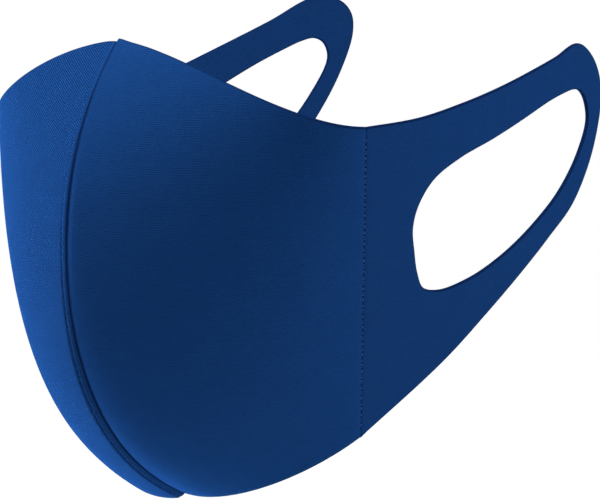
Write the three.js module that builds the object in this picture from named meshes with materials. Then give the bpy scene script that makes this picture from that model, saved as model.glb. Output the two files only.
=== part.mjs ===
// A sports face mask of knitted cloth, held open as it is when worn.
// Millimetres. +Z is up, the wearer looks along -Y, and +X is the wearer's left.
// The origin is on the inner face of the cloth at the nose, at the top of the centre seam.
// Two cup panels meet at the centre seam, and an ear loop is sewn to the side of each panel.

import * as THREE from 'three';

const cupWall = 1.5;          // thickness of the cup's cloth
const loopWall = 1.2;         // thickness of the ear loops' cloth
const seamGap = 0.3;          // clearance between neighbouring pieces
const leaveAngle = 8;         // degrees back from straight sideways, where a panel leaves the centre seam
const arriveAngle = 80;       // the same where it reaches the loop seam
const loopEndAngle = 106;     // the same at the far end of an ear loop, past 90 because it turns inwards
const loopLength = 105;       // from the loop seam to the end of an ear loop
const loopEnd = { x: 56.5, y: 136 };
const loopHandle = 0.36;      // how long the loop's path keeps each end's direction, as a share of its chord

// The loop seam runs straight from its bottom end to its top end.
const loopSeamBottom = { x: 49.5, y: 46.5, z: -112 };
const loopSeamTop = { x: 75.5, y: 25.5 };
const loopSeamHeight = 88.5;  // height that the outline of an ear loop is drawn for

// The centre seam and the slopes of the cloth, from the chin's edge up to the nose's edge.
// seamSlope is the rise for each millimetre sideways at the centre seam, and sideSlope the
// rise along the loop seam for each millimetre that the cloth goes back, where it gets there.
const cupSections = [
  { seamY: 22.5, seamZ: -131, seamSlope: -0.18, sideSlope: 0.67 },
  { seamY: -6, seamZ: -108, seamSlope: -0.12, sideSlope: 0.53 },
  { seamY: -18, seamZ: -77, seamSlope: -0.13, sideSlope: 0.4 },
  { seamY: -18.5, seamZ: -41, seamSlope: -0.08, sideSlope: 0.21 },
  { seamY: -1.5, seamZ: 0, seamSlope: -0.05, sideSlope: 0 },
];

// The cloth isn't evenly taut. The handles say how far a panel keeps its direction from the
// centre seam and from the loop seam, as shares of the chord. loopLift is how far the end of
// the ear loop is raised, liftPower how late on the way that comes, and loopLean how far
// the loop's end leans back, as a share of its height above leanPivot.
const sides = {
  left: {
    sign: 1, topZ: -23.5, seamHandle: 0.28, sideHandle: 0.3, loopLift: -2, liftPower: 1, loopLean: 0,
  },
  right: {
    sign: -1, topZ: -26.5, seamHandle: 0.6, sideHandle: 0.48, loopLift: 20.5, liftPower: 1.9, loopLean: 0.08,
  },
};
const leanPivot = 80;

// Sections across an ear loop's band, laid flat: how far the rim and the hole's edge are back
// from the loop seam and up from its bottom end. The rim starts there, and goes round to its
// top end.
const rimSections = [
  { rimBack: 0, rimUp: 0, holeBack: 20.3, holeUp: 43.3 },
  { rimBack: 29.5, rimUp: 21.7, holeBack: 26, holeUp: 42.3 },
  { rimBack: 46, rimUp: 35, holeBack: 38, holeUp: 45.4 },
  { rimBack: 60, rimUp: 45.6, holeBack: 52, holeUp: 51.7 },
  { rimBack: 74, rimUp: 55.7, holeBack: 67, holeUp: 60.3 },
  { rimBack: 88, rimUp: 66, holeBack: 81, holeUp: 70 },
  { rimBack: 97.5, rimUp: 78.5, holeBack: 91, holeUp: 80.4 },
  { rimBack: 102.2, rimUp: 90, holeBack: 96, holeUp: 90 },
  { rimBack: 103.3, rimUp: 97, holeBack: 94.6, holeUp: 96 },
  { rimBack: 102.3, rimUp: 103.2, holeBack: 91.7, holeUp: 98.6 },
  { rimBack: 98.5, rimUp: 108.9, holeBack: 88, holeUp: 98.8 },
  { rimBack: 91.5, rimUp: 112.3, holeBack: 83.5, holeUp: 97.9 },
  { rimBack: 79, rimUp: 108.3, holeBack: 75, holeUp: 95.6 },
  { rimBack: 62, rimUp: 103.4, holeBack: 62, holeUp: 91 },
  { rimBack: 46, rimUp: 98.9, holeBack: 46, holeUp: 85.1 },
  { rimBack: 32, rimUp: 95.1, holeBack: 32, holeUp: 79.8 },
  { rimBack: 16, rimUp: 91, holeBack: 22.3, holeUp: 73.8 },
  { rimBack: 0, rimUp: 88.5, holeBack: 17.3, holeUp: 66.5 },
];
// Then down along the loop seam, where the rim is at the seam.
const seamSideSections = [
  { rimBack: 0, rimUp: 66, holeBack: 15.8, holeUp: 60.2 },
  { rimBack: 0, rimUp: 44, holeBack: 16.6, holeUp: 54 },
  { rimBack: 0, rimUp: 22, holeBack: 18, holeUp: 47.6 },
];

// The seam allowances of both panels lie folded inside the right panel, beside the centre seam.
const foldWidth = 6;
const foldWall = 1.1;
const foldPastEdge = 1.6;     // how far the folded end shows below the chin's edge
const seamLength = 150;       // of the centre seam, about

const cupSteps = { across: 24, up: 20 };
const loopSteps = { perSection: 3, acrossBand: 5 };
const foldSteps = { across: 4, up: 40 };

const knit = new THREE.MeshStandardMaterial({ color: 0x143f7d, roughness: 0.8, metalness: 0 });
const loopKnit = new THREE.MeshStandardMaterial({ color: 0x12396f, roughness: 0.8, metalness: 0 });
const foldKnit = new THREE.MeshStandardMaterial({ color: 0x0d2c5a, roughness: 0.85, metalness: 0 });

const radians = THREE.MathUtils.degToRad;

// The one smooth curve through evenly spaced values, at u from 0 at the first to 1 at the last.
function throughValues(values, u) {
  const last = values.length - 1;
  return values.reduce((sum, value, i) => {
    const weight = values.reduce((w, _, j) => (j === i ? w : (w * (u * last - j)) / (i - j)), 1);
    return sum + value * weight;
  }, 0);
}

// A cubic from start to end that sets off along startWay and comes in along endWay.
function bend(start, startWay, end, endWay, startHandle, endHandle, u) {
  const chord = start.distanceTo(end);
  const leave = start.clone().addScaledVector(startWay, startHandle * chord);
  const arrive = end.clone().addScaledVector(endWay, -endHandle * chord);
  return new THREE.CubicBezierCurve3(start, leave, arrive, end).getPoint(u);
}

// The point of the loop seam at share v of its height.
function loopSeamPoint(side, v) {
  const lerp = THREE.MathUtils.lerp;
  return new THREE.Vector3(
    side.sign * lerp(loopSeamBottom.x, loopSeamTop.x, v),
    lerp(loopSeamBottom.y, loopSeamTop.y, v),
    lerp(loopSeamBottom.z, side.topZ, v),
  );
}

// The outer face of a cup panel: u from the centre seam to the loop seam, v from chin to nose.
function cupPoint(side, u, v) {
  const at = (column) => throughValues(cupSections.map((row) => row[column]), v);
  const start = new THREE.Vector3(0, at('seamY'), at('seamZ'));
  const startWay = new THREE.Vector3(
    side.sign * Math.cos(radians(leaveAngle)), Math.sin(radians(leaveAngle)), at('seamSlope'));
  const alongSeam = loopSeamPoint(side, 1).sub(loopSeamPoint(side, 0)).normalize();
  const endWay = new THREE.Vector3(
    side.sign * Math.cos(radians(arriveAngle)), Math.sin(radians(arriveAngle)), 0);
  endWay.addScaledVector(alongSeam, at('sideSlope'));
  return bend(start, startWay, loopSeamPoint(side, v), endWay, side.seamHandle, side.sideHandle, u);
}

// The outer face of an ear loop: back and up in millimetres on the flat cloth.
function loopPoint(side, back, up) {
  const share = Math.max(back / loopLength, 0);
  const u = (back + side.loopLean * share ** 2 * (up - leanPivot)) / loopLength;
  const start = loopSeamPoint(side, up / loopSeamHeight);
  const end = new THREE.Vector3(side.sign * loopEnd.x, loopEnd.y, start.z);
  const way = (angle) => new THREE.Vector3(
    side.sign * Math.cos(radians(angle)), Math.sin(radians(angle)), 0);
  const point = bend(start, way(arriveAngle), end, way(loopEndAngle), loopHandle, loopHandle, u);
  point.z += side.loopLift * share ** side.liftPower;
  return point;
}

// The unit vector out of the cloth at a, b of the surface, from two short steps each way.
function outward(surface, sign, a, b, step) {
  const alongA = surface(a + step, b).sub(surface(a - step, b));
  const alongB = surface(a, b + step).sub(surface(a, b - step));
  return alongA.cross(alongB).multiplyScalar(sign).normalize();
}

// A closed ring of points for each row, joined row to row. The first and last rows are
// capped, or joined to each other where the band goes all the way round.
function closedMesh(name, rings, goesRound, flip, material) {
  const count = rings[0].length;
  const positions = rings.flat().flatMap((p) => [p.x, p.y, p.z]);
  const triangles = [];
  const quad = (a, b, c, d) => triangles.push(a, b, c, a, c, d);
  const joins = goesRound ? rings.length : rings.length - 1;
  for (let r = 0; r < joins; r += 1) {
    const next = (r + 1) % rings.length;
    for (let k = 0; k < count; k += 1) {
      const after = (k + 1) % count;
      quad(r * count + k, r * count + after, next * count + after, next * count + k);
    }
  }
  if (!goesRound) {
    // each ring runs out along the outer face and back along the inner one
    const last = (rings.length - 1) * count;
    for (let k = 0; k < count / 2 - 1; k += 1) {
      const back = count - 1 - k;
      quad(k, back, back - 1, k + 1);
      quad(last + k, last + k + 1, last + back - 1, last + back);
    }
  }
  if (flip) triangles.reverse();
  const geometry = new THREE.BufferGeometry();
  geometry.setAttribute('position', new THREE.Float32BufferAttribute(positions, 3));
  geometry.setIndex(triangles);
  geometry.computeVertexNormals();
  const mesh = new THREE.Mesh(geometry, material);
  mesh.name = name;
  return mesh;
}

// A cup panel. Its edge at the centre seam is mitred, so that it stays on its own side.
function cupPanel(name, side) {
  const surface = (u, v) => cupPoint(side, u, v);
  const rings = [];
  for (let j = 0; j <= cupSteps.up; j += 1) {
    const v = j / cupSteps.up;
    const outer = [];
    const inner = [];
    for (let i = 0; i <= cupSteps.across; i += 1) {
      const u = i / cupSteps.across;
      const face = surface(u, v);
      const out = outward(surface, side.sign, u, v, 1e-3);
      if (i === 0) {
        const cosine = Math.hypot(out.y, out.z);
        out.setX(0).divideScalar(cosine * cosine);
        face.x = (side.sign * seamGap) / 2;
      }
      outer.push(face);
      inner.push(face.clone().addScaledVector(out, -cupWall));
    }
    rings.push([...outer, ...inner.reverse()]);
  }
  return closedMesh(name, rings, false, side.sign < 0, knit);
}

// Points of the rim and of the hole of an ear loop, in pairs, all the way round.
function loopOutline() {
  const point = (row, part) => new THREE.Vector3(row[`${part}Back`], row[`${part}Up`], 0);
  const rim = new THREE.CatmullRomCurve3(rimSections.map((row) => point(row, 'rim')), false);
  const allRows = [...rimSections, ...seamSideSections];
  const hole = new THREE.CatmullRomCurve3(allRows.map((row) => point(row, 'hole')), true);
  const pairs = [];
  for (let k = 0; k < allRows.length * loopSteps.perSection; k += 1) {
    const along = k / loopSteps.perSection;
    const onRim = along / (rimSections.length - 1);
    const down = (along - rimSections.length + 1) / (seamSideSections.length + 1);
    pairs.push({
      rim: onRim <= 1 ? rim.getPoint(onRim) : new THREE.Vector3(0, loopSeamHeight * (1 - down), 0),
      hole: hole.getPoint(along / allRows.length),
    });
  }
  return pairs;
}

// An ear loop, one flat band bent round to the ear.
function earLoop(name, side) {
  const surface = (back, up) => loopPoint(side, back, up);
  const rings = loopOutline().map(({ rim, hole }) => {
    const outer = [];
    const inner = [];
    for (let i = 0; i <= loopSteps.acrossBand; i += 1) {
      const flat = rim.clone().lerp(hole, i / loopSteps.acrossBand);
      const back = Math.max(flat.x, seamGap);
      const face = surface(back, flat.y);
      outer.push(face);
      inner.push(face.clone().addScaledVector(outward(surface, side.sign, back, flat.y, 0.1), -loopWall));
    }
    return [...outer, ...inner.reverse()];
  });
  return closedMesh(name, rings, true, side.sign > 0, loopKnit);
}

// The folded seam allowances, a strip inside the right panel along the whole centre seam.
function centreSeamFold(name, side) {
  const surface = (u, v) => cupPoint(side, u, v);
  const rings = [];
  for (let j = 0; j <= foldSteps.up; j += 1) {
    const v = THREE.MathUtils.lerp(-foldPastEdge / seamLength, 1, j / foldSteps.up);
    const near = [];
    const far = [];
    for (let i = 0; i <= foldSteps.across; i += 1) {
      const along = THREE.MathUtils.lerp(seamGap, foldWidth, i / foldSteps.across);
      const u = along / (3 * side.seamHandle * surface(0, v).distanceTo(loopSeamPoint(side, v)));
      const out = outward(surface, side.sign, u, v, 1e-3);
      near.push(surface(u, v).addScaledVector(out, -cupWall - seamGap));
      far.push(surface(u, v).addScaledVector(out, -cupWall - seamGap - foldWall));
    }
    rings.push([...near, ...far.reverse()]);
  }
  return closedMesh(name, rings, false, side.sign < 0, foldKnit);
}

const mask = new THREE.Group();
mask.add(cupPanel('cup_panel_left', sides.left));
mask.add(cupPanel('cup_panel_right', sides.right));
mask.add(earLoop('ear_loop_left', sides.left));
mask.add(earLoop('ear_loop_right', sides.right));
mask.add(centreSeamFold('centre_seam_fold', sides.right));

export default mask;
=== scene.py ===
import math

import bpy
import numpy as np
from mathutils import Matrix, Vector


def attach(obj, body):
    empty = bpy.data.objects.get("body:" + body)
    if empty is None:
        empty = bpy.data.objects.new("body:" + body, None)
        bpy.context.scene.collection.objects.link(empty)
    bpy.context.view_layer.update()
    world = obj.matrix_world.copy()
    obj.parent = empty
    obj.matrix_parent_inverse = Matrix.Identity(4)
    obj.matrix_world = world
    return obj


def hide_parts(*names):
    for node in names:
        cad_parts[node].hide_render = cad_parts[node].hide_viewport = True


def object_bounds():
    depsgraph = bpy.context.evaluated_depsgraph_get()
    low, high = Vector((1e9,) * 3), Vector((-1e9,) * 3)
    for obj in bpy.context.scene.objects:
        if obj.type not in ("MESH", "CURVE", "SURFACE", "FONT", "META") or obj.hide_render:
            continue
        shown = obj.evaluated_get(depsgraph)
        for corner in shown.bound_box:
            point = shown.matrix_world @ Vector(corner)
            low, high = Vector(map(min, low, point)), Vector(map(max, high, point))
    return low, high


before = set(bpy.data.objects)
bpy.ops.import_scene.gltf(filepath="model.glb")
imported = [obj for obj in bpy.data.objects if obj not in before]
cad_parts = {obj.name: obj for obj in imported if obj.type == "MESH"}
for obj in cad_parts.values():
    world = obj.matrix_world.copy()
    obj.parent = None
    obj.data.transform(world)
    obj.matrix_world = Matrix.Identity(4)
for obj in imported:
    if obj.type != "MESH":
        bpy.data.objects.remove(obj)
cadLow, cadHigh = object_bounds()
middle = (np.array(cadLow) + np.array(cadHigh)) / 2
mm = 0.001
print("frame loaded")

cameraSetting = {
    "azimuth": 49.8,        # degrees round from straight in front, towards the wearer's left
    "elevation": 4.1,
    "distance": 1.0,
    "target": (0.0066, 0.0603, -0.0618),
    "lens": 204.8,
    "sensor": 36,
}

studio = {
    "background": "#ffffff",
    "backgroundStrength": 1.0,
    "floorDrop": 0.42,      # from the lowest point of the held mask to the floor
    "floorSide": 9.0,
    "floorPaint": "#fefefe",
    "floorRoughness": 0.9,
    # azimuth, elevation, distance, side of the square, watts
    "softboxes": {
        "noseSoftbox": (-31, 63, 0.45, 0.25, 8.8),
        "leftSoftbox": (-80, -20, 1.0, 0.4, 114),
        "rearSoftbox": (122, 16, 1.6, 1.0, 43),
    },
}


# The unit vector towards a place seen at that azimuth and elevation from the object.
def wayTo(azimuth, elevation):
    a, e = math.radians(azimuth), math.radians(elevation)
    return np.array([math.sin(a) * math.cos(e), -math.cos(a) * math.cos(e), math.sin(e)])


# Colour from sRGB hex to the linear values that the nodes want.
def linearColour(hexValue):
    shares = [int(hexValue[i:i + 2], 16) / 255 for i in (1, 3, 5)]
    return [s / 12.92 if s <= 0.04045 else ((s + 0.055) / 1.055) ** 2.4 for s in shares] + [1.0]


# Puts an object at a place, turned so that its own -Z looks at the target.
def aimAt(item, place, target):
    item.location = place
    item.rotation_euler = Vector(target - place).to_track_quat("-Z", "Y").to_euler()
    bpy.context.scene.collection.objects.link(item)


# A long lens, a metre from the mask.
def makeCamera():
    data = bpy.data.cameras.new("studioCamera")
    data.lens, data.sensor_width = cameraSetting["lens"], cameraSetting["sensor"]
    camera = bpy.data.objects.new("studioCamera", data)
    target = np.array(cameraSetting["target"])
    way = wayTo(cameraSetting["azimuth"], cameraSetting["elevation"])
    aimAt(camera, target + way * cameraSetting["distance"], target)
    bpy.context.scene.camera = camera


# An even white sky, and square softboxes that look at the middle of the mask.
def makeLights():
    world = bpy.data.worlds.new("paleStudio")
    world.use_nodes = True
    sky = world.node_tree.nodes["Background"]
    sky.inputs["Color"].default_value = linearColour(studio["background"])
    sky.inputs["Strength"].default_value = studio["backgroundStrength"]
    bpy.context.scene.world = world
    bpy.context.scene.view_settings.view_transform = "Standard"
    for name, (azimuth, elevation, distance, side, watts) in studio["softboxes"].items():
        data = bpy.data.lights.new(name, "AREA")
        data.shape, data.size, data.energy = "SQUARE", side, watts
        aimAt(bpy.data.objects.new(name, data), middle + wayTo(azimuth, elevation) * distance, middle)


makeCamera()
makeLights()
print("camera and lights made")

# The cup panels: the centre seam and the slopes of the cloth, evenly spaced from chin to nose.
# seamSlope is the rise sideways at the centre seam, and sideSlope the rise along the loop seam
# where the cloth gets there.
cupCut = {
    "seamY": np.array([22.5, -6, -18, -18.5, -1.5]) * mm,
    "seamZ": np.array([-131, -108, -77, -41, 0]) * mm,
    "seamSlope": np.array([-0.18, -0.12, -0.13, -0.08, -0.05]),
    "sideSlope": np.array([0.67, 0.53, 0.4, 0.21, 0]),
    "leaveAngle": 8,        # degrees back from straight sideways, at the centre seam
    "arriveAngle": 80,      # the same at the loop seam
    "wall": 1.5 * mm,
}

# The loop seam is straight, and an ear loop's cloth runs back from it.
loopCut = {
    "seamBottom": np.array([49.5, 46.5, -112]) * mm,
    "seamTopX": 75.5 * mm,
    "seamTopY": 25.5 * mm,
    "seamHeight": 88.5 * mm,    # height that the outline of an ear loop is drawn for
    "length": 105 * mm,
    "endX": 56.5 * mm,
    "endY": 136 * mm,
    "endAngle": 106,            # past 90 because the loop turns inwards
    "handle": 0.36,             # share of the chord
    "leanPivot": 80 * mm,
    "wall": 1.2 * mm,
}

# The cloth isn't evenly taut, so the curves across each cup panel have their own handles, as
# shares of their chord. loopLift is how far the end of the ear loop is raised, liftPower how
# late on the way that comes, and loopLean how far the loop's end leans back, as a share of its
# height above the pivot. courseClimb is in degrees, for the courses of the knit.
sides = {
    "left": {
        "sign": 1, "topZ": -23.5 * mm, "seamHandle": 0.28, "sideHandle": 0.3,
        "loopLift": -2 * mm, "liftPower": 1, "loopLean": 0, "courseClimb": -2},
    "right": {
        "sign": -1, "topZ": -26.5 * mm, "seamHandle": 0.6, "sideHandle": 0.48,
        "loopLift": 20.5 * mm, "liftPower": 1.9, "loopLean": 0.08, "courseClimb": 31},
}

# Sections across an ear loop's band, laid flat: the rim's distance back from the loop seam and
# up from its bottom end, and the same for the hole.
bandSections = np.array([
    # rimBack, rimUp, holeBack, holeUp
    (0, 0, 20.3, 43.3),
    (29.5, 21.7, 26, 42.3),
    (46, 35, 38, 45.4),
    (60, 45.6, 52, 51.7),
    (74, 55.7, 67, 60.3),
    (88, 66, 81, 70),
    (97.5, 78.5, 91, 80.4),
    (102.2, 90, 96, 90),
    (103.3, 97, 94.6, 96),
    (102.3, 103.2, 91.7, 98.6),
    (98.5, 108.9, 88, 98.8),
    (91.5, 112.3, 83.5, 97.9),
    (79, 108.3, 75, 95.6),
    (62, 103.4, 62, 91),
    (46, 98.9, 46, 85.1),
    (32, 95.1, 32, 79.8),
    (16, 91, 22.3, 73.8),
    (0, 88.5, 17.3, 66.5),
    # from here on the rim stays at the loop seam
    (0, 66, 15.8, 60.2),
    (0, 44, 16.6, 54),
    (0, 22, 18, 47.6),
]) * mm
freeSections = 18           # how many of them have a free rim

# How the cut edges and the joints between the pieces look.
edges = {
    "lines": 5,             # steps of the mesh round half of a cut edge
    "softness": 0.75,       # 1 is a round edge, and less is squarer
    "cutRound": 0.5 * mm,
    "joinRound": 0.05 * mm,
    "seamGap": -0.1 * mm,   # from the middle plane to either panel, which the stitches press together
    "joinGap": 0.015 * mm,  # from the loop seam to a panel or an ear loop
}


# 0 below low, 1 above high, and a smooth rise between them.
def smoothStep(x, low, high):
    t = np.clip((x - low) / (high - low), 0, 1)
    return t * t * (3 - 2 * t)


# A bell of height 1 at the centre, which falls to 0.37 at one width from it.
def bell(x, centre, width):
    return np.exp(-((x - centre) / width) ** 2)


# The one smooth curve through evenly spaced values, for u from 0 at the first to 1 at the last.
def throughValues(values, u):
    last = len(values) - 1
    total = np.zeros_like(u)
    for i, value in enumerate(values):
        weight = np.ones_like(u)
        for j in range(len(values)):
            if j != i:
                weight = weight * (u * last - j) / (i - j)
        total = total + value * weight
    return total


# A cubic from start to end that sets off along startWay and comes in along endWay.
def bend(start, startWay, end, endWay, startHandle, endHandle, u):
    chord = np.linalg.norm(end - start, axis=-1, keepdims=True)
    leave = start + startWay * startHandle * chord
    arrive = end - endWay * endHandle * chord
    t = u[..., None]
    return (1 - t) ** 3 * start + 3 * t * (1 - t) ** 2 * leave + 3 * t**2 * (1 - t) * arrive + t**3 * end


# The level direction at an angle back from straight sideways, on one side.
def levelWay(side, angle):
    a = math.radians(angle)
    return np.array([side["sign"] * math.cos(a), math.sin(a), 0])


# The point of the loop seam at share v of its height, on the line between its two ends.
def loopSeamPoint(side, v):
    x, y, z = loopCut["seamBottom"]
    x = x + (loopCut["seamTopX"] - x) * v
    y = y + (loopCut["seamTopY"] - y) * v
    z = z + (side["topZ"] - z) * v
    return np.stack([side["sign"] * x, y, z], -1)


# The outer face of a cup panel: u from the centre seam to the loop seam, v from chin to nose.
# At each height the cloth is a cubic between the two seams.
def cupPoint(side, u, v):
    u, v = np.broadcast_arrays(np.asarray(u, float), np.asarray(v, float))
    start = np.stack([0 * v, throughValues(cupCut["seamY"], v), throughValues(cupCut["seamZ"], v)], -1)
    end = loopSeamPoint(side, v)
    rise = throughValues(cupCut["seamSlope"], v)[..., None] * np.array([0, 0, 1])
    seamWay = loopSeamPoint(side, np.array(1.0)) - loopSeamPoint(side, np.array(0.0))
    lift = throughValues(cupCut["sideSlope"], v)[..., None] * seamWay / np.linalg.norm(seamWay)
    startWay = levelWay(side, cupCut["leaveAngle"]) + rise
    endWay = levelWay(side, cupCut["arriveAngle"]) + lift
    return bend(start, startWay, end, endWay, side["seamHandle"], side["sideHandle"], u)


# The outer face of an ear loop: back and up in metres on the flat cloth. At each height it is a
# level cubic from the loop seam to the loop's end, and is then lifted towards the end.
def loopPoint(side, back, up):
    back, up = np.broadcast_arrays(np.asarray(back, float), np.asarray(up, float))
    share = np.maximum(back / loopCut["length"], 0)
    lean = side["loopLean"] * share**2 * (up - loopCut["leanPivot"])
    u = (back + lean) / loopCut["length"]
    start = loopSeamPoint(side, up / loopCut["seamHeight"])
    end = np.stack([0 * u + side["sign"] * loopCut["endX"], 0 * u + loopCut["endY"], start[..., 2]], -1)
    startWay, endWay = levelWay(side, cupCut["arriveAngle"]), levelWay(side, loopCut["endAngle"])
    point = bend(start, startWay, end, endWay, loopCut["handle"], loopCut["handle"], u)
    point[..., 2] += side["loopLift"] * share ** side["liftPower"]
    return point


shareStep = 1e-3            # of the way across a cup panel or up it
clothStep = 0.1 * mm        # the same on the flat cloth of an ear loop


# The unit vector out of the cloth, square to two short steps along the surface.
def outward(surface, sign, a, b, step):
    alongA = surface(a + step, b) - surface(a - step, b)
    alongB = surface(a, b + step) - surface(a, b - step)
    way = np.cross(alongA, alongB) * sign
    return way / np.linalg.norm(way, axis=-1, keepdims=True)


# How many metres of cloth there are across the surface to a share of 1, at a and b of it.
def metresAcross(surface, a, b, step=1e-4):
    return np.linalg.norm(surface(a + step, b) - surface(a - step, b), axis=-1) / (2 * step)


# The same up the surface.
def metresUp(surface, a, b, step=1e-4):
    return np.linalg.norm(surface(a, b + step) - surface(a, b - step), axis=-1) / (2 * step)


# Distances in from an edge: crowded where it is rounded, and even from there to width. The
# height is 0 at the edge and 1 where the sheet has its full thickness.
def edgeLines(rounding, width=0, cells=0):
    arc = np.radians(np.linspace(0, 90, edges["lines"] + 1))[:-1]
    distance = np.concatenate([rounding * (1 - np.cos(arc) ** edges["softness"]), [rounding]])
    height = np.concatenate([np.sin(arc) ** edges["softness"], [1]])
    if cells:
        distance = np.concatenate([distance, np.linspace(rounding, width, cells + 1)[1:]])
        height = np.concatenate([height, np.ones(cells)])
    return distance, height


# All the lines across a sheet: each one's share of the way, its distances in from the start and
# from the end, and its height.
def linesAcross(start, cells, end):
    t = np.linspace(0, 1, cells + 1)[1:-1]
    share = np.concatenate([0 * start[0], t, 0 * end[0] + 1])
    fromStart = np.concatenate([start[0], start[0][-1] * (1 - t), 0 * end[0]])
    fromEnd = np.concatenate([0 * start[0], end[0][-1] * t, end[0][::-1]])
    height = np.concatenate([start[1], 0 * t + 1, end[1][::-1]])
    return share, fromStart, fromEnd, height


# Lengths along a grid of points, down its rows or across its lines, from its line zeroAt.
def lengthAlong(face, axis, zeroAt):
    steps = np.linalg.norm(np.diff(face, axis=axis), axis=-1)
    total = np.concatenate([np.zeros_like(steps.take([0], axis)), np.cumsum(steps, axis)], axis)
    return total - total.take([zeroAt], axis)


# Cloth coordinates in metres, turned so that the courses of the knit climb by an angle in degrees.
def turnedGrain(across, up, angle):
    a = math.radians(angle)
    along = across * math.cos(a) + up * math.sin(a)
    over = up * math.cos(a) - across * math.sin(a)
    return np.stack([along, over], -1)


atlasMargin = np.array([0.02, 0.03])


# Cloth coordinates laid out on the half of the unit square that one face of a sheet has, as
# large as they fit between its margins.
def onAtlas(grain, half):
    low, high = grain.min((0, 1)), grain.max((0, 1))
    room = np.array([0.5, 1]) - 2 * atlasMargin
    scale = (room / (high - low)).min()
    return (grain - low) * scale + (atlasMargin + np.array([0.5 * half, 0]))


# Makes a mesh into a smooth piece with one material, and lets it ride on the mask's body.
def addPiece(name, mesh, material):
    mesh.shade_smooth()
    mesh.materials.append(material)
    piece = bpy.data.objects.new(name, mesh)
    bpy.context.scene.collection.objects.link(piece)
    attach(piece, "root")
    return piece


# A closed mesh of a sheet of cloth from a grid of points on its outer face. The two faces are
# half a wall each side of the middle of the cloth, times height, so they meet at the cut edges.
def sheetPiece(name, grid, material):
    face, out, height, wall = grid["face"], grid["out"], grid["height"], grid["wall"]
    rows, lines = height.shape
    half = wall / 2 * height[..., None]
    outer, inner = face + out * (half - wall / 2), face - out * (half + wall / 2)
    border = np.zeros((rows, lines), bool)
    border[:, [0, -1]] = True
    if not grid["goesRound"]:
        border[[0, -1]] = True
    outerIndex = np.arange(rows * lines).reshape(rows, lines)
    innerIndex = outerIndex.copy()
    innerIndex[~border] = rows * lines + np.arange((~border).sum())
    here = np.arange(rows if grid["goesRound"] else rows - 1)
    there = (here + 1) % rows

    # the four corners of every cell, in order round it
    def corners(values):
        cells = [values[here][:, :-1], values[here][:, 1:], values[there][:, 1:], values[there][:, :-1]]
        cells = np.stack(cells, 2)
        return cells.reshape(-1, *cells.shape[2:])

    grain = corners(grid["grain"])
    shown = {
        "faces": (corners(outerIndex), corners(innerIndex)),
        "clothGrain": (grain, grain),
        "OFBake": (onAtlas(grain, 0), onAtlas(grain, 1)),
    }
    # the inner face goes the other way round, and flip swaps the two
    asIs, turned = slice(None), slice(None, None, -1)
    first, second = (turned, asIs) if grid["flip"] else (asIs, turned)
    shown = {key: np.concatenate([a[:, first], b[:, second]]) for key, (a, b) in shown.items()}

    mesh = bpy.data.meshes.new(name)
    points = np.concatenate([outer.reshape(-1, 3), inner[~border]])
    mesh.from_pydata(points.tolist(), [], shown["faces"].tolist())
    for mapName in ("clothGrain", "OFBake"):
        layer = mesh.uv_layers.new(name=mapName)
        layer.uv.foreach_set("vector", shown[mapName].astype(np.float32).ravel())
    # a sheet is darkened at its thin cut edges, partly painted shade where they turn away, unless its
    # grid says otherwise
    for key, values in {"cutEdgeAndPaintedShade": 1 - height, **grid["attributes"]}.items():
        values = np.broadcast_to(values, height.shape)
        values = np.concatenate([values.ravel(), values[~border]]).astype(np.float32)
        mesh.attributes.new(key, "FLOAT", "POINT").data.foreach_set("value", values)
    cells = outer[:-1, :-1], outer[:-1, 1:], outer[1:, :-1]
    area = np.linalg.norm(np.cross(cells[1] - cells[0], cells[2] - cells[0]), axis=-1).sum()
    print(f"{name}: {len(shown['faces'])} faces, {area * 1e4:.0f} square centimetres")
    return addPiece(name, mesh, material)


# Rows of stitches: the top-stitching on the right panel beside the centre seam, and the rows
# along the loop seams. dentFade and sinkGrows go from one share to another of the way from chin
# to nose.
topStitch = {
    "fromSeam": 2.7 * mm,
    "pitch": 1.9 * mm,
    "inset": 1.5 * mm,      # least distance from a cut edge to the first needle hole
    "dent": 0.2 * mm,
    "dentWidth": 0.5 * mm,
    "dentFade": (0.5, 0.95),
    "thread": 0.26 * mm,    # diameter
    "sink": 0.4 * mm,
    "sinkGrows": (0.62, 0.78),
}
sideStitch = {
    "pitch": 1.7 * mm,
    "inset": 2.8 * mm,
    "dent": 0.14 * mm,
    "dentWidth": 0.7 * mm,
    "dentEnd": 1.5 * mm,    # past the last needle hole
    "thread": 0.28 * mm,
}


# Where a stitched line's needle holes are: distances along it, and the count of its stitches.
def stitchedLine(lineAt, setting, samples=401):
    share = np.linspace(0, 1, samples)
    length = np.concatenate([[0], np.cumsum(np.linalg.norm(np.diff(lineAt(share), axis=0), axis=1))])
    count = int((length[-1] - 2 * setting["inset"]) / setting["pitch"])
    first = (length[-1] - count * setting["pitch"]) / 2
    return {"share": share, "length": length, "count": count, "first": first, "pitch": setting["pitch"]}


# For cloth near a stitched line: how many stitches along the line it lies, how far it is from
# the stretch that has needle holes, and how far past the ends of that stretch.
def nearStitches(line, v, across):
    along = np.interp(v, line["share"], line["length"]) - line["first"]
    past = np.maximum(np.maximum(-along, along - line["count"] * line["pitch"]), 0)
    return along / line["pitch"], np.hypot(across, past), past


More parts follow.
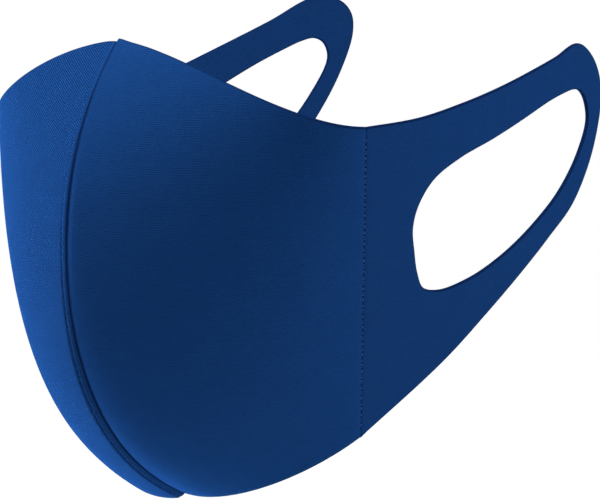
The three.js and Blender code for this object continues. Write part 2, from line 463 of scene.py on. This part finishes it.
# How a cup panel looks. The fades go from one share to another of the way from chin to nose.
cupLook = {
    "nearSeam": 9 * mm,     # stretches of finer mesh beside the two seams
    "nearSeamCells": 42,
    "nearLoop": 2.4 * mm,
    "nearLoopCells": 8,
    "cellsBetween": 68,
    "cellsUp": 150,
    "seamRound": 0.8 * mm,
    "crease": 0.4 * mm,     # how far the stitches pull a panel in at the seam
    "creaseWidth": {"left": 1.7 * mm, "right": 1.1 * mm},
    "leftCreaseAt": 0.7,    # where on the way from chin to nose the left panel is creased
    "leftCreaseReach": 0.14,
    "grooveLoss": 0.75,
    "grooveFade": (0.8, 0.95),
    "shadeWidth": 0.54 * mm,    # of the painted shade line in the groove
    "tautBySeam": 2.4 * mm,     # how far from the centre seam its stitches draw the knit flat
    "mitreWidth": 4 * mm,
    "shoulderSlope": 0.4,   # the folded allowances push the right panel out into a shoulder
    "shoulderLow": 1.6 * mm,
    "shoulderHigh": 4.6 * mm,
    "shoulderEnd": 42 * mm,
    "shoulderFade": (0.3, 0.66),
    # how far the corners at the centre seam stand past the cut's own edge
    "cornerWidth": {"chin": 13 * mm, "nose": 3.5 * mm},
    "chinDrop": {"left": 0, "right": 0.4 * mm},
    "noseRise": {"left": 0.6 * mm, "right": -0.3 * mm},
    "cornerPower": 8,       # how soon that is lost up or down the panel
    "slack": {"left": 0.3, "right": 1.15},  # how high the knit's ribs stand
    # width and height, and area, laid flat
    "flat": {"left": (0.086, 0.147), "right": (0.093, 0.147)},
    "flatArea": {"left": 0.0098, "right": 0.0106},
}


# The outer face of one side's cup panel, as a function of u and v alone.
def cupSurface(which):
    return lambda u, v: cupPoint(sides[which], u, v)


# The share of the way to the loop seam that lies a short distance from the centre seam.
def shareBeside(which, distance, v):
    return distance / metresAcross(cupSurface(which), 0 * v, v)


# How much of the groove at the centre seam there is, and of the painted shade in it: both get faint
# towards the nose.
def grooveShare(v):
    return 1 - cupLook["grooveLoss"] * smoothStep(v, *cupLook["grooveFade"])


# How far the cloth stands out from the plain surface beside the centre seam. On the left it is
# creased only beside the tip of the nose. On the right a shoulder stands out over the lower half.
def seamRelief(which, fromSeam, v):
    crease = cupLook["crease"] * bell(fromSeam, 0, cupLook["creaseWidth"][which]) * grooveShare(v)
    if which == "left":
        return -crease * bell(v, cupLook["leftCreaseAt"], cupLook["leftCreaseReach"])
    low, high = cupLook["shoulderLow"], cupLook["shoulderHigh"]
    t = np.clip((fromSeam - low) / (high - low), 0, 1)
    rise = np.minimum(fromSeam, high) - (high - low) * (t**3 - t**4 / 2)
    pad = 1 - smoothStep(fromSeam, high, cupLook["shoulderEnd"])
    shoulder = cupLook["shoulderSlope"] * rise * pad * (1 - smoothStep(v, *cupLook["shoulderFade"]))
    dent = bell(fromSeam, topStitch["fromSeam"], topStitch["dentWidth"])
    dent = dent * (1 - smoothStep(v, *topStitch["dentFade"]))
    return shoulder - crease - topStitch["dent"] * dent


# The dent that the stitches pull in along the loop seam, which fades out past the last of them.
def loopSeamRelief(fromSeam, past):
    dent = sideStitch["dent"] * bell(fromSeam, 0, sideStitch["dentWidth"])
    return -dent * (1 - smoothStep(past, 0, sideStitch["dentEnd"]))


# How deep the top stitches lie: they sink into the slack cloth towards the nose.
def topSink(v):
    return topStitch["sink"] * smoothStep(v, *topStitch["sinkGrows"])


# The top stitches' share of the way from the centre seam to the right loop seam.
def topShare(v):
    return shareBeside("right", topStitch["fromSeam"], v)


topLine = stitchedLine(lambda v: cupPoint(sides["right"], topShare(v), v), topStitch)
sideLines = {
    which: stitchedLine(lambda v: loopSeamPoint(side, v), sideStitch) for which, side in sides.items()}


# The vectors out of a cup panel, mitred so that the cloth stays on its own side at the centre seam.
def cupOutward(which, u, v, fromSeam):
    out = outward(cupSurface(which), sides[which]["sign"], u, v, shareStep)
    mitred = out * np.stack([smoothStep(fromSeam, 0, cupLook["mitreWidth"]), 0 * u + 1, 0 * u + 1], -1)
    return mitred / (mitred * out).sum(-1, keepdims=True)


# Where the points of a cup panel's grid lie, and the heights of the cloth across and up it. Its
# lines and rows stand off each edge by real distances, divided by the metres there are to a share.
def cupShares(which):
    surface = cupSurface(which)
    share, inSeam, inLoop, heightAcross = linesAcross(
        edgeLines(cupLook["seamRound"], cupLook["nearSeam"], cupLook["nearSeamCells"]),
        cupLook["cellsBetween"],
        edgeLines(edges["joinRound"], cupLook["nearLoop"], cupLook["nearLoopCells"]))
    shareUp, inChin, inNose, heightUp = (values[:, None] for values in linesAcross(
        edgeLines(edges["cutRound"]), cupLook["cellsUp"], edgeLines(edges["cutRound"])))
    inSeam, inLoop = inSeam + edges["seamGap"] * (1 - share), inLoop + edges["joinGap"] * share
    v = shareUp + 0 * share
    u = share + inSeam / metresAcross(surface, 0 * v, v) - inLoop / metresAcross(surface, 0 * v + 1, v)
    beside = u * metresAcross(surface, 0 * v, v)
    chin, nose = (bell(beside, 0, cupLook["cornerWidth"][end]) for end in ("chin", "nose"))
    power = cupLook["cornerPower"]
    inChin = inChin - cupLook["chinDrop"][which] * chin * (1 - shareUp) ** power
    inNose = inNose - cupLook["noseRise"][which] * nose * shareUp ** power
    first, last = u[:1], u[-1:]
    v = v + inChin / metresUp(surface, first, 0 * first) - inNose / metresUp(surface, last, 0 * last + 1)
    return u, v, heightAcross, heightUp


# A cup panel's grid has a row for each height v, and its lines run from the centre seam to the
# loop seam.
def cupGrid(which):
    surface = cupSurface(which)
    u, v, heightAcross, heightUp = cupShares(which)
    fromSeam = u * metresAcross(surface, 0 * v, v)
    fromLoop = (1 - u) * metresAcross(surface, 0 * v + 1, v)
    count, away, past = nearStitches(sideLines[which], v, fromLoop)
    relief = seamRelief(which, fromSeam, v) + loopSeamRelief(fromLoop, past)
    if which == "right":
        topCount, topAway, _ = nearStitches(topLine, v, fromSeam - topStitch["fromSeam"])
        topAway = topAway + topSink(v)
        count, away = np.where(topAway < away, topCount, count), np.minimum(topAway, away)
    out = cupOutward(which, u, v, fromSeam)
    face = surface(u, v) + out * relief[..., None]
    across, up = lengthAlong(face, 1, 0), lengthAlong(face, 0, len(face) // 2)
    # painted shade in the groove of the centre seam, fainter towards the nose, joined to the darker cut
    # edges at chin and nose
    shade = (bell(fromSeam, 0, cupLook["shadeWidth"]) * grooveShare(v)) ** 2
    return {
        "face": face,
        "out": out,
        "height": heightUp * heightAcross,
        "wall": cupCut["wall"],
        "grain": turnedGrain(across, up, sides[which]["courseClimb"]),
        "attributes": {
            "stitchCount": count,
            "stitchAway": away,
            "slack": cupLook["slack"][which] * smoothStep(fromSeam, 0, cupLook["tautBySeam"]),
            "cutEdgeAndPaintedShade": np.maximum(1 - heightUp, shade)},
        "goesRound": False,
        "flip": which == "right",
    }


loopLook = {
    "stepsPerSection": 16,
    "cellsAcross": 34,
    "slack": 0.2,
    "flat": (0.103, 0.112),
    "flatArea": 0.0040,
}


# Points of a smooth curve through the given ones (a centripetal Catmull-Rom spline), at along
# from 0 at the first to the count of the last.
def throughPoints(points, along, closed):
    if closed:
        padded = np.concatenate([points[-1:], points, points[:2]])
    else:
        padded = np.concatenate([2 * points[:1] - points[1:2], points, 2 * points[-1:] - points[-2:-1]])
    at = np.minimum(np.floor(along).astype(int), len(padded) - 4)
    t = (along - at)[:, None]
    a, b, c, d = (padded[at + k] for k in range(4))
    gaps = (b - a, c - b, d - c)
    ab, bc, cd = (np.sqrt(np.linalg.norm(gap, axis=1, keepdims=True)) for gap in gaps)
    leave = ((b - a) / ab - (c - a) / (ab + bc) + (c - b) / bc) * bc
    arrive = ((c - b) / bc - (d - b) / (bc + cd) + (d - c) / cd) * bc
    return (
        b * (2 * t**3 - 3 * t**2 + 1) + leave * (t**3 - 2 * t**2 + t)
        + c * (3 * t**2 - 2 * t**3) + arrive * (t**3 - t**2))


# The grid of an ear loop's band laid flat. Its rows run across the band from the rim to the hole,
# and follow each other round the hole. It gives how far back and up each point is, the height of
# the cloth there and how dark its cut edges are, partly painted shade, which is none at the loop
# seam, where the cup panel goes on.
def flatBand():
    steps, sections = loopLook["stepsPerSection"], len(bandSections)
    along = np.arange(sections * steps) / steps
    hole = throughPoints(bandSections[:, 2:], along, True)
    rim = throughPoints(bandSections[:freeSections, :2], np.minimum(along, freeSections - 1), False)
    down = np.clip((along - freeSections + 1) / (sections - freeSections + 1), 0, 1)
    atSeam = down > 0
    rim[atSeam] = np.stack([0 * down, loopCut["seamHeight"] * (1 - down)], 1)[atSeam]
    rimRound = np.where(atSeam | (along == 0), edges["joinRound"], edges["cutRound"])[:, None]
    band = np.linalg.norm(hole - rim, axis=1)[:, None]
    share, inRim, inHole, height = linesAcross(edgeLines(1), loopLook["cellsAcross"], edgeLines(1))
    shade = np.where((share == 0) & (rimRound == edges["joinRound"]), 0, 1 - height)
    share = share + inRim * rimRound / band - inHole * edges["cutRound"] / band
    flat = rim[:, None] + (hole - rim)[:, None] * share[..., None]
    return np.maximum(flat[..., 0], edges["joinGap"]), flat[..., 1], height, shade


# An ear loop's grid is its flat band laid on the worn surface, and goes round the hole.
def loopGrid(which):
    side, line = sides[which], sideLines[which]
    back, up, height, shade = flatBand()
    seamShare = up / loopCut["seamHeight"]

    def surface(a, b):
        return loopPoint(side, a, b)

    out = outward(surface, side["sign"], back, up, clothStep)
    count, away, past = nearStitches(line, seamShare, back)
    grainUp = (seamShare - 0.5) * line["length"][-1]
    return {
        "face": surface(back, up) + out * loopSeamRelief(back, past)[..., None],
        "out": out,
        "height": height + 0 * back,
        "wall": loopCut["wall"],
        "grain": turnedGrain(back, grainUp, side["courseClimb"]),
        "attributes": {
            "stitchCount": count, "stitchAway": away, "slack": loopLook["slack"], "cutEdgeAndPaintedShade": shade},
        "goesRound": True,
        "flip": which == "left",
    }


# The seam allowances of both panels, folded together inside the right panel.
foldLook = {
    "start": -1.2 * mm,     # a little past the centre seam, so that no light comes through it
    "end": 6 * mm,
    "gap": 0.3 * mm,        # from the inner face of the panel
    "wall": 1.1 * mm,
    "pastChin": 1.1 * mm,
    "belowNose": 0.4 * mm,
    "cells": 16,
    "cellsUp": 150,
    "slack": 0.5,
    "stitchAway": 10 * mm,  # far enough for no needle hole to show
}


# The fold's grid lies inside the right panel, at an even gap from its inner face.
def foldGrid():
    surface = cupSurface("right")
    share, inSeam, inEnd, heightAcross = linesAcross(
        edgeLines(edges["cutRound"]), foldLook["cells"], edgeLines(edges["cutRound"]))
    shareUp, inChin, inNose, heightUp = linesAcross(
        edgeLines(edges["cutRound"]), foldLook["cellsUp"], edgeLines(edges["cutRound"]))
    inChin = inChin - foldLook["pastChin"] * (1 - shareUp)
    inNose = inNose + foldLook["belowNose"] * shareUp
    zero = np.zeros(1)
    v = shareUp + inChin / metresUp(surface, zero, zero) - inNose / metresUp(surface, zero, zero + 1)
    v = v[:, None] + 0 * share
    fromSeam = foldLook["start"] + (foldLook["end"] - foldLook["start"]) * share + inSeam - inEnd + 0 * v
    u = shareBeside("right", fromSeam, v)
    out = outward(surface, sides["right"]["sign"], u, v, shareStep)
    depth = cupCut["wall"] + foldLook["gap"] - seamRelief("right", fromSeam, v)
    face = surface(u, v) - out * depth[..., None]
    return {
        "face": face,
        "out": out,
        "height": heightUp[:, None] * heightAcross,
        "wall": foldLook["wall"],
        "grain": turnedGrain(lengthAlong(face, 1, 0), lengthAlong(face, 0, 0), 0),
        "attributes": {
            "stitchCount": 0, "stitchAway": foldLook["stitchAway"], "slack": foldLook["slack"]},
        "goesRound": False,
        "flip": True,
    }


threadLook = {
    "colour": {"side": "#263c6c", "top": "#0a2148"},
    # painted shade in the grooves between the plies
    "plyGroovePaintedShadeColour": "#06122e",
    "ply": 0.5 * mm,        # width of a light or dark band of the twist
    "plyDepth": 0.03 * mm,
    "roughness": 0.55,
    "specular": 0.0,
    "rings": 7,
    "sides": 8,
    "taper": 0.7,           # how much of its section a stitch loses at its ends
    "reach": 0.44,          # half of a stitch, as a share of the pitch
    "rise": 0.06 * mm,      # of a stitch's middle over the cloth
    "sink": 0.32 * mm,      # from there down to its ends, in the needle holes
}


# The faces of that many rods: walls between their rings, and a fan that closes each end.
def rodFaces(rodCount):
    rings, ring = threadLook["rings"], threadLook["sides"]
    index = np.arange(rodCount * rings * ring).reshape(rodCount, rings, ring)
    after = np.roll(index, -1, 2)
    walls = np.stack([index[:, :-1], index[:, 1:], after[:, 1:], after[:, :-1]], -1)
    fan = np.array([(0, k, k + 1, k + 2) for k in range(1, ring - 2, 2)])
    caps = index[:, 0][:, fan], index[:, -1][:, fan[:, ::-1]]
    return np.concatenate([quads.reshape(-1, 4) for quads in (walls, *caps)])


# One mesh of all the stitches of a line. Each is a short bent rod along the line, thinner at
# its ends: its middle lies on the cloth and its ends dip into the needle holes. The under row
# lies on the inner face, half a pitch further on. depthAt gives how deep in either row lies.
def stitchPiece(name, line, setting, lineAt, outAt, depthAt, material):
    rods = []
    for sideOfCloth, shift, count in ((1, 0.5, line["count"]), (-1, 1.0, line["count"] - 1)):
        at = line["first"] + (np.arange(count) + shift) * line["pitch"]
        share = np.interp(at, line["length"], line["share"])
        along = lineAt(share + shareStep) - lineAt(share - shareStep)
        along /= np.linalg.norm(along, axis=1, keepdims=True)
        out = outAt(share)
        base = lineAt(share) - out * depthAt(sideOfCloth, share)[:, None]
        rods.append((base, along, out * sideOfCloth, np.cross(along, out)))
    base, along, out, across = (np.concatenate(parts)[:, None, None, :] for parts in zip(*rods))
    x = np.linspace(-1, 1, threadLook["rings"])[:, None, None]
    turn = (np.arange(threadLook["sides"]) / threadLook["sides"] * 2 * math.pi)[None, :, None]
    radius = setting["thread"] / 2 * np.sqrt(1 - threadLook["taper"] * x**4)
    lift = threadLook["rise"] - threadLook["sink"] * x**2 + radius * np.cos(turn)
    points = base + along * x * threadLook["reach"] * line["pitch"] + out * lift
    points = points + across * radius * np.sin(turn)
    mesh = bpy.data.meshes.new(name)
    mesh.from_pydata(points.reshape(-1, 3).tolist(), [], rodFaces(len(points)).tolist())
    print(f"{name}: {line['count']} stitches")
    return addPiece(name, mesh, material)


# Stretch tricot of polyester and elastane, warp-knitted and dyed: matt with a faint satin sheen,
# and fine ribs along its courses. A real course is about 0.4 mm high, too fine to show, and is
# drawn half as high again.
knitLook = {
    # the ear loops and the fold are darker copies of the panel's colour: painted shade
    "colour": {"panel": "#0b2952", "loop": "#0a254b", "fold": "#091f40"},
    # painted shade in the valleys between the ribs
    "valleyPaintedShadeColour": "#05132d",
    # the colour of the darker cut edges, partly painted shade, and of the painted shade in the seam's
    # groove and the needle holes
    "darkEdgeAndPaintedShadeColour": "#041029",
    "edgeSpread": 3.2,      # how far in from a cut edge its dark line reaches, partly painted shade, and how wide the painted shade in the seam's groove is
    "courseHeight": 0.64 * mm,
    "waleWidth": 1.1 * mm,
    "lean": 0.22,           # how far a course zigzags, as a share of its height
    "waleDip": 0.4,         # how much lower a rib is between two wales
    "ribDepth": 0.17 * mm,
    "mottleSize": 7 * mm,
    "mottle": 0.14,         # how far the cloth's brightness varies, as a share of it
    "fleckSize": 0.55 * mm,
    "fleck": 0.27,
    "waverSize": 2.5 * mm,
    "waver": 0.6,           # of a course's height
    "patchSize": 1.7 * mm,
    "patchLow": 0.4,        # noise below this gives faint ribs
    "patchHigh": 0.65,      # and above this the full ones
    "fullRibs": 1.2,
    "roughness": 0.62,
    "specular": 0.0,
    "sheen": 0.015,
    "sheenRoughness": 0.45,
    "sheenColour": "#1f5fd0",
    "holeRadius": 0.38 * mm,
    "holeCore": 0.3,        # the share of its radius over which a hole has its full painted shade
    "holeDepth": 0.15 * mm,
    "stitchPitch": 1.8 * mm,    # between the pitches of the two kinds of rows
}


# Adds a node. An input that is given another node, or one of its outputs, is linked to it.
def addNode(tree, kind, inputs=(), **settings):
    node = tree.nodes.new("ShaderNode" + kind)
    for key, value in settings.items():
        setattr(node, key, value)
    given = inputs if isinstance(inputs, dict) else dict(enumerate(inputs))
    for key, value in given.items():
        if isinstance(value, bpy.types.Node):
            value = value.outputs[0]
        if isinstance(value, bpy.types.NodeSocket):
            tree.links.new(value, node.inputs[key])
        else:
            node.inputs[key].default_value = value
    return node


# The ribs of the knit, 0 in a groove and 1 on a rib: a cosine up the courses, which zigzag
# across the wales and waver a little. They are as high as the cloth is slack, since a taut knit
# lies flatter, and taut cloth also has patches where they are fainter still.
def knitRibs(tree):
    cloth = addNode(tree, "UVMap", uv_map="clothGrain")
    grain = addNode(tree, "SeparateXYZ", [cloth]).outputs
    wale = addNode(tree, "Math", [grain[0], knitLook["waleWidth"]], operation="DIVIDE")
    zigzag = addNode(tree, "Math", [wale, 0.5], operation="PINGPONG")
    course = addNode(tree, "Math", [grain[1], knitLook["courseHeight"]], operation="DIVIDE")
    course = addNode(tree, "Math", [zigzag, 2 * knitLook["lean"], course], operation="MULTIPLY_ADD")
    uneven = addNode(tree, "TexNoise", {
        "Vector": cloth, "Scale": 1 / knitLook["waverSize"], "Detail": 1.0})
    course = addNode(tree, "Math", [uneven, knitLook["waver"], course], operation="MULTIPLY_ADD")
    wave = addNode(tree, "Math", [course, 2 * math.pi], operation="MULTIPLY")
    wave = addNode(tree, "Math", [wave], operation="COSINE")
    wave = addNode(tree, "Math", [wave, 0.5, 0.5], operation="MULTIPLY_ADD")
    leg = addNode(tree, "Math", [wale, 2 * math.pi], operation="MULTIPLY")
    leg = addNode(tree, "Math", [leg], operation="SINE")
    leg = addNode(tree, "Math", [leg], operation="ABSOLUTE")
    dip = knitLook["waleDip"]
    leg = addNode(tree, "Math", [leg, dip, 1 - dip], operation="MULTIPLY_ADD")
    ribs = addNode(tree, "Math", [wave, leg], operation="MULTIPLY")
    ribs = addNode(tree, "Math", [ribs, 0.5], operation="SUBTRACT")
    slack = addNode(tree, "Attribute", attribute_name="slack").outputs["Fac"]
    patches = addNode(tree, "TexNoise", {
        "Vector": cloth, "Scale": 1 / knitLook["patchSize"], "Detail": 0.0})
    patches = addNode(tree, "MapRange", {
        "Value": patches, "From Min": knitLook["patchLow"], "From Max": knitLook["patchHigh"],
        "To Min": slack, "To Max": knitLook["fullRibs"]})
    slack = addNode(tree, "Math", [slack, patches], operation="MULTIPLY")
    return addNode(tree, "Math", [ribs, slack, 0.5], operation="MULTIPLY_ADD")


# The needle holes, 1 in a hole and 0 away from it, spaced along the stitched lines. The knit has painted
# shade and a dent in them.
def needleHoles(tree):
    count = addNode(tree, "Attribute", attribute_name="stitchCount").outputs["Fac"]
    away = addNode(tree, "Attribute", attribute_name="stitchAway").outputs["Fac"]
    nearest = addNode(tree, "Math", [count], operation="ROUND")
    along = addNode(tree, "Math", [count, nearest], operation="SUBTRACT")
    along = addNode(tree, "Math", [along, knitLook["stitchPitch"]], operation="MULTIPLY")
    square = addNode(tree, "Math", [away, away], operation="MULTIPLY")
    square = addNode(tree, "Math", [along, along, square], operation="MULTIPLY_ADD")
    distance = addNode(tree, "Math", [square], operation="SQRT")
    radius = knitLook["holeRadius"]
    return addNode(tree, "MapRange", {
        "Value": distance, "From Min": knitLook["holeCore"] * radius, "From Max": radius,
        "To Min": 1.0, "To Max": 0.0}, interpolation_type="SMOOTHSTEP")


# The knit's colour goes from painted shade in its valleys to its ribs, with soft mottling and fine
# flecks. It darkens at cut edges, partly painted shade, and has painted shade in the groove of the
# centre seam and in the needle holes.
def makeKnit(name, hexValue):
    material = bpy.data.materials.new(name)
    material.use_nodes = True
    tree = material.node_tree
    ribs, holes = knitRibs(tree), needleHoles(tree)
    # painted shade in the valleys, the knit's own colour on the ribs
    colour = addNode(tree, "Mix", {
        "Factor": ribs, 6: linearColour(knitLook["valleyPaintedShadeColour"]), 7: linearColour(hexValue)},
        data_type="RGBA")
    place = addNode(tree, "TexCoord").outputs["Object"]
    shown = 1 - (knitLook["mottle"] + knitLook["fleck"]) / 2    # the noises are a half on average
    for size, strength, detail in (("mottleSize", "mottle", 3.0), ("fleckSize", "fleck", 1.0)):
        noise = addNode(tree, "TexNoise", {
            "Vector": place, "Scale": 1 / knitLook[size], "Detail": detail})
        shown = addNode(tree, "Math", [noise, knitLook[strength], shown], operation="MULTIPLY_ADD")
    colour = addNode(tree, "VectorMath", {0: colour.outputs[2], "Scale": shown}, operation="SCALE")
    # darker cut edges, partly painted shade, and the painted shade in the groove of the centre seam
    dark = addNode(tree, "Attribute", attribute_name="cutEdgeAndPaintedShade").outputs["Fac"]
    dark = addNode(tree, "Math", [dark], operation="SQRT")
    dark = addNode(tree, "Math", [dark, knitLook["edgeSpread"]], operation="MULTIPLY")
    # painted shade in the needle holes
    dark = addNode(tree, "Math", [dark, holes], operation="MAXIMUM")
    colour = addNode(tree, "Mix", {
        "Factor": dark, 6: colour, 7: linearColour(knitLook["darkEdgeAndPaintedShadeColour"])}, data_type="RGBA")
    depth = addNode(tree, "Math", [
        holes, -knitLook["holeDepth"] / knitLook["ribDepth"], ribs], operation="MULTIPLY_ADD")
    bump = addNode(tree, "Bump", {"Height": depth, "Distance": knitLook["ribDepth"]})
    shader = tree.nodes["Principled BSDF"]
    tree.links.new(colour.outputs[2], shader.inputs["Base Color"])
    tree.links.new(bump.outputs[0], shader.inputs["Normal"])
    shader.inputs["Roughness"].default_value = knitLook["roughness"]
    shader.inputs["Specular IOR Level"].default_value = knitLook["specular"]
    shader.inputs["Sheen Weight"].default_value = knitLook["sheen"]
    shader.inputs["Sheen Roughness"].default_value = knitLook["sheenRoughness"]
    shader.inputs["Sheen Tint"].default_value = linearColour(knitLook["sheenColour"])
    return material


# Spun polyester sewing thread, matt and twisted from plies, with painted shade in the grooves
# between them: a little greyer than the cloth along the loop seams, and darker than it beside the
# centre seam.
def makeThread(name, hexValue):
    material = bpy.data.materials.new(name)
    material.use_nodes = True
    tree = material.node_tree
    place = addNode(tree, "TexCoord").outputs["Object"]
    # at a scale of 1 each band of the wave is 0.3 wide
    twist = addNode(tree, "TexWave", {
        "Vector": place, "Scale": 0.3 / threadLook["ply"], "Distortion": 1.0},
        bands_direction="DIAGONAL").outputs["Fac"]
    # the twist's grooves get painted shade
    colour = addNode(tree, "Mix", {
        "Factor": twist, 6: linearColour(threadLook["plyGroovePaintedShadeColour"]), 7: linearColour(hexValue)},
        data_type="RGBA")
    bump = addNode(tree, "Bump", {"Height": twist, "Distance": threadLook["plyDepth"]})
    shader = tree.nodes["Principled BSDF"]
    tree.links.new(colour.outputs[2], shader.inputs["Base Color"])
    tree.links.new(bump.outputs[0], shader.inputs["Normal"])
    shader.inputs["Roughness"].default_value = threadLook["roughness"]
    shader.inputs["Specular IOR Level"].default_value = threadLook["specular"]
    return material


panelKnit = makeKnit("stretchTricotPanel", knitLook["colour"]["panel"])
# the ear loops and the fold: the same knit, with darker colours as painted shade
loopKnit = makeKnit("stretchTricotLoop", knitLook["colour"]["loop"])
foldKnit = makeKnit("stretchTricotFolded", knitLook["colour"]["fold"])
sideThread = makeThread("spunPolyesterThreadGrey", threadLook["colour"]["side"])
darkThread = makeThread("spunPolyesterThreadNavy", threadLook["colour"]["top"])
print("materials made")


# The stitches along a loop seam lie in its dent, and their under row on the loop's inner face.
def sideStitching(which):
    def out(v):
        return outward(cupSurface(which), sides[which]["sign"], 0 * v + 1, v, shareStep)

    def at(v):
        return loopSeamPoint(sides[which], v) - out(v) * sideStitch["dent"]

    def depth(sideOfCloth, v):
        return 0 * v + (loopCut["wall"] if sideOfCloth < 0 else 0)

    return stitchPiece(
        f"side_stitching_{which}", sideLines[which], sideStitch, at, out, depth, sideThread)


# The top stitches lie in their dent, and their under row on the far side of the folded allowances.
def topStitching():
    def out(v):
        return outward(cupSurface("right"), sides["right"]["sign"], topShare(v), v, shareStep)

    def at(v):
        relief = seamRelief("right", topStitch["fromSeam"], v)
        return cupPoint(sides["right"], topShare(v), v) + out(v) * relief[..., None]

    def depth(sideOfCloth, v):
        through = cupCut["wall"] + foldLook["gap"] + foldLook["wall"]
        return 0 * v + through if sideOfCloth < 0 else topSink(v)

    return stitchPiece("top_stitching", topLine, topStitch, at, out, depth, darkThread)


cups, loops, sideThreads = {}, {}, {}
for which in sides:
    cups[which] = sheetPiece(f"cup_{which}_cloth", cupGrid(which), panelKnit)
    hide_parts(f"cup_panel_{which}")
    loops[which] = sheetPiece(f"ear_loop_{which}_cloth", loopGrid(which), loopKnit)
    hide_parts(f"ear_loop_{which}")
    sideThreads[which] = sideStitching(which)
print("cups and ear loops made")

fold = sheetPiece("seam_fold_cloth", foldGrid(), foldKnit)
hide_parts("centre_seam_fold")
topThread = topStitching()
print("centre seam made")


# The floor is a plain pale sheet of studio paper, well below the mask.
def makeFloor():
    half, z = studio["floorSide"] / 2, cadLow[2] - studio["floorDrop"]
    mesh = bpy.data.meshes.new("studioFloor")
    corners = [(-half, -half, z), (half, -half, z), (half, half, z), (-half, half, z)]
    mesh.from_pydata(corners, [], [(0, 1, 2, 3)])
    material = bpy.data.materials.new("matPaper")
    material.use_nodes = True
    shader = material.node_tree.nodes["Principled BSDF"]
    shader.inputs["Base Color"].default_value = linearColour(studio["floorPaint"])
    shader.inputs["Roughness"].default_value = studio["floorRoughness"]
    mesh.materials.append(material)
    floor = bpy.data.objects.new("studioFloor", mesh)
    bpy.context.scene.collection.objects.link(floor)


makeFloor()
